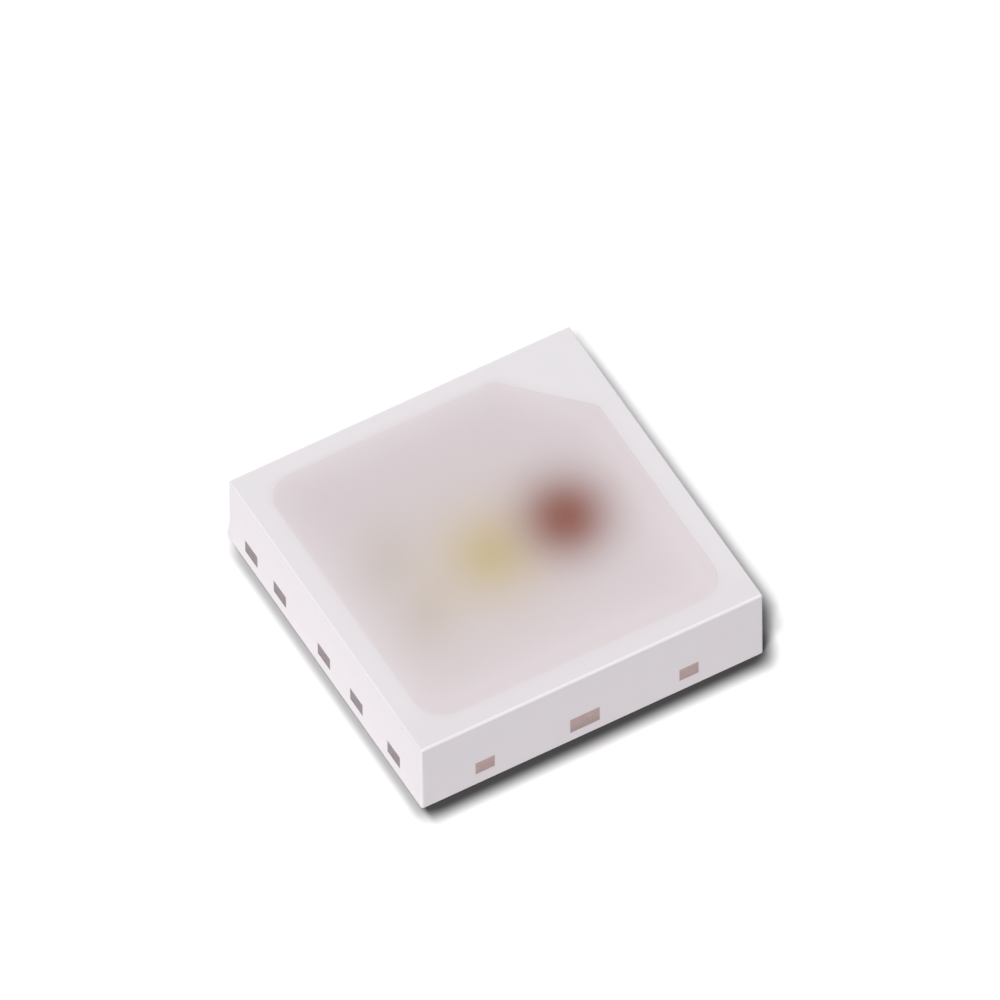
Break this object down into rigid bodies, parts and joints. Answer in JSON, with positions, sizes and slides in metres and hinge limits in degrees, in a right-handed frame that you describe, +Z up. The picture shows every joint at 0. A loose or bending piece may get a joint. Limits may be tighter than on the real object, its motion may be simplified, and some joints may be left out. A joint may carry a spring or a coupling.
{
  "type": "smd led",
  "caption": "Square surface-mount LED: white moulded housing, milky diffusing fill over red, green, blue and white chips, and flat solder pads underneath.",
  "frame": {"origin": "middle of the flat underside, in the plane of the solder pads", "axes": "+Z up through the light-emitting face, +X along the front face with three sawn tie bars, +Y to the back; the cut-off cavity corner, which is the polarity mark, is at +X, +Y"},
  "size_m": [0.0036, 0.0036, 0.0009],
  "materials": {
    "white_resin": "moulded and sawn, matte",
    "milky_silicone": "satin, milky",
    "plated_copper": "silver plated, bare copper where sawn",
    "red_chip": "polished semiconductor",
    "clear_chip": "polished semiconductor",
    "phosphor": "powder in silicone, matte",
    "silver_glue": "cured paste, matte",
    "gold_wire": "drawn, bright"
  },
  "bodies": {
    "root": {"housing": "white_resin", "encapsulant": "milky_silicone", "thermal_paddle": "plated_copper", "lead_left_1": "plated_copper", "lead_left_2": "plated_copper", "lead_left_3": "plated_copper", "lead_left_4": "plated_copper", "lead_right_1": "plated_copper", "lead_right_2": "plated_copper", "lead_right_3": "plated_copper", "lead_right_4": "plated_copper", "chip_red": "red_chip", "chip_white": "clear_chip", "chip_blue": "clear_chip", "chip_green": "clear_chip", "phosphor_layer": "phosphor", "die_attach_red": "silver_glue", "die_attach_white": "silver_glue", "die_attach_blue": "silver_glue", "die_attach_green": "silver_glue", "wire_blue_1": "gold_wire", "wire_blue_2": "gold_wire", "wire_green_1": "gold_wire", "wire_green_2": "gold_wire", "wire_white_1": "gold_wire", "wire_white_2": "gold_wire", "wire_red": "gold_wire", "wire_paddle": "gold_wire"}
  },
  "joints": []
}
